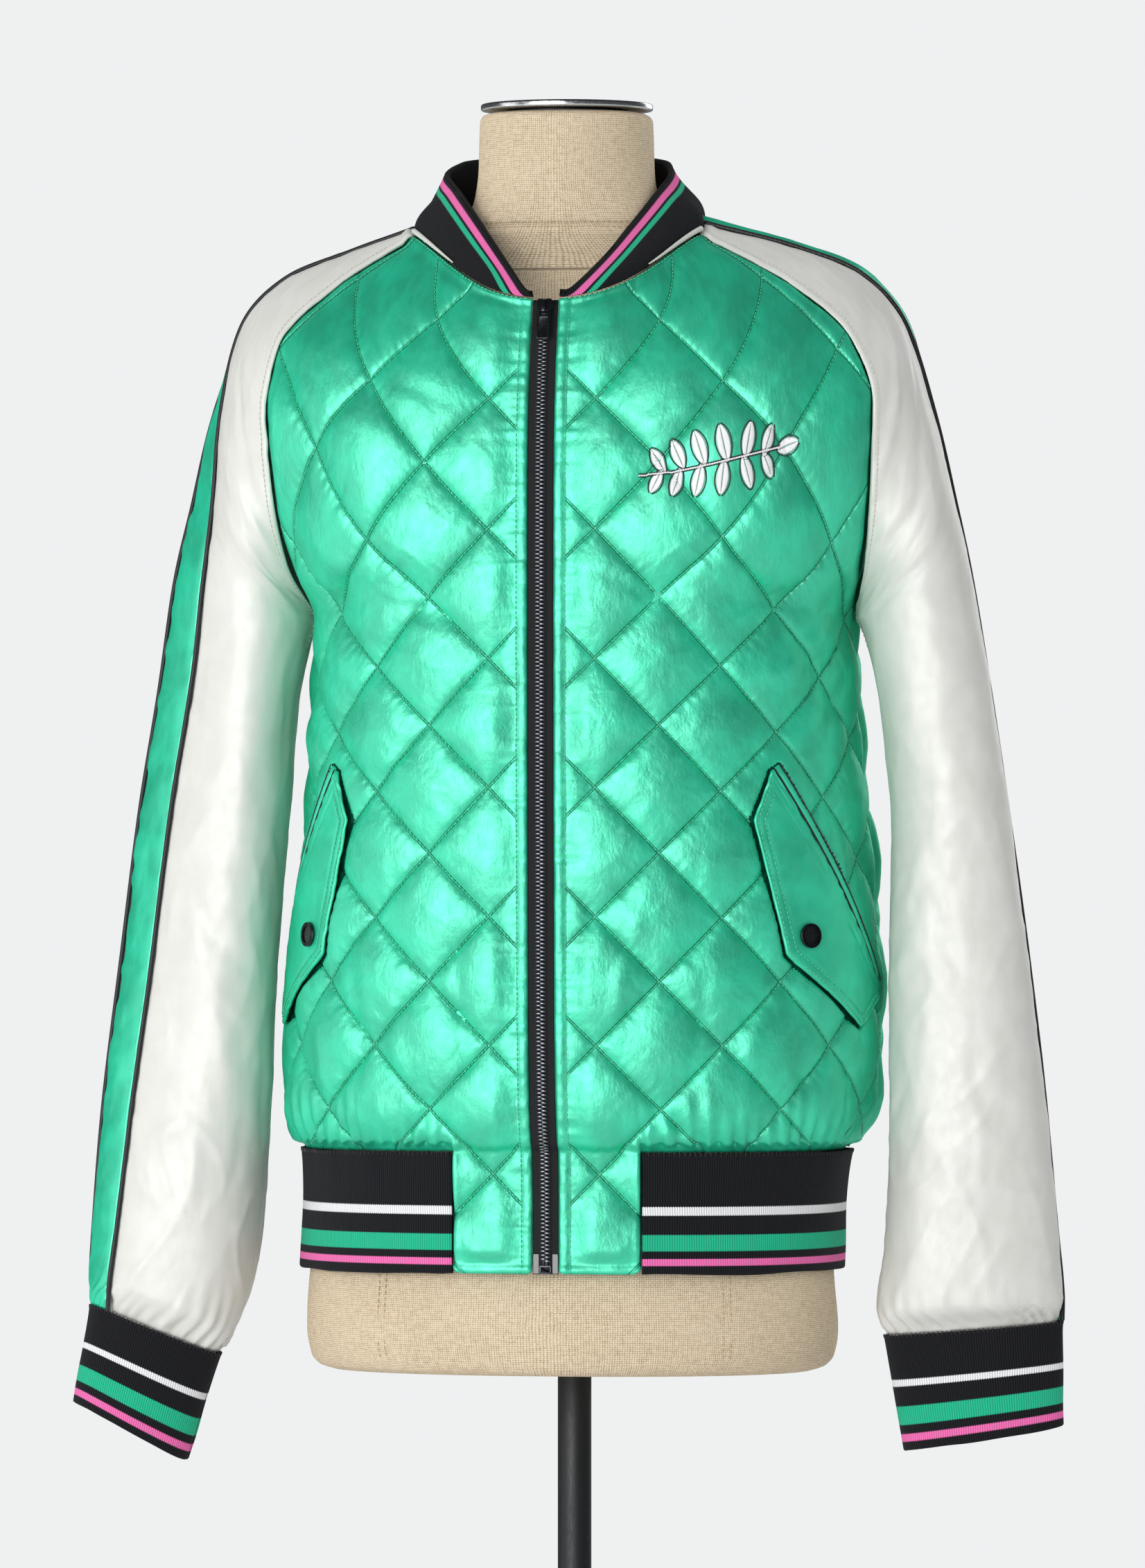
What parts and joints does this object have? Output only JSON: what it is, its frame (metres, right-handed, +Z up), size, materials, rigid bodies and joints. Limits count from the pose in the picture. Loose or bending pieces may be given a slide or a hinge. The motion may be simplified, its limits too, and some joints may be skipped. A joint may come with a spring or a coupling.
{
  "type": "blouson jacket on a dress form and stand",
  "caption": "Zipped quilted satin blouson with raglan sleeves and rib trims, worn open-necked on a limbless dress form on a pole stand.",
  "frame": {"origin": "middle of the underside of the stand's base, on the pole's axis", "axes": "+Z up along the pole; the jacket's front faces -Y; the wearer's left arm hangs at +X"},
  "size_m": [0.6535, 0.38, 1.6093],
  "materials": {
    "green_satin": "green satin, quilted on the fronts and back",
    "ivory_satin": "glossy ivory satin",
    "black_rib": "black rib knit with white, green and pink stripes",
    "black_piping": "black corded piping",
    "zip_tape": "black woven tape",
    "black_metal": "blackened metal",
    "linen": "coarse beige linen over a hard shell",
    "bright_steel": "bright steel",
    "black_lacquer": "satin black lacquer"
  },
  "bodies": {
    "body": {"back": "green_satin", "base_plate": "black_lacquer", "collar": "black_rib", "cuff_left": "black_rib", "cuff_right": "black_rib", "dress_form": "linen", "front_left": "green_satin", "front_right": "green_satin", "hem_rib": "black_rib", "neck_disc": "bright_steel", "neck_washer": "black_lacquer", "piping_back_left": "black_piping", "piping_back_right": "black_piping", "piping_front_left": "black_piping", "piping_front_right": "black_piping", "pocket_flap_left": "green_satin", "pocket_flap_right": "green_satin", "pocket_welt_left": "green_satin", "pocket_welt_right": "green_satin", "pole": "black_lacquer", "sleeve_back_left": "ivory_satin", "sleeve_back_right": "ivory_satin", "sleeve_band_left": "green_satin", "sleeve_band_right": "green_satin", "sleeve_front_left": "ivory_satin", "sleeve_front_right": "ivory_satin", "snap_left": "black_metal", "snap_right": "black_metal", "zip_box": "black_metal", "zip_chain": "black_metal", "zip_slider": "black_metal", "zip_tape_left": "zip_tape", "zip_tape_right": "zip_tape"},
    "pull": {"zip_pull": "black_metal"}
  },
  "joints": [
    {"name": "pull_swing", "type": "hinge", "parent": "body", "child": "pull", "pos_m": [0, -0.1263, 1.47031], "axis": [-1, 0, 0], "range_deg": [0, 130]}
  ]
}
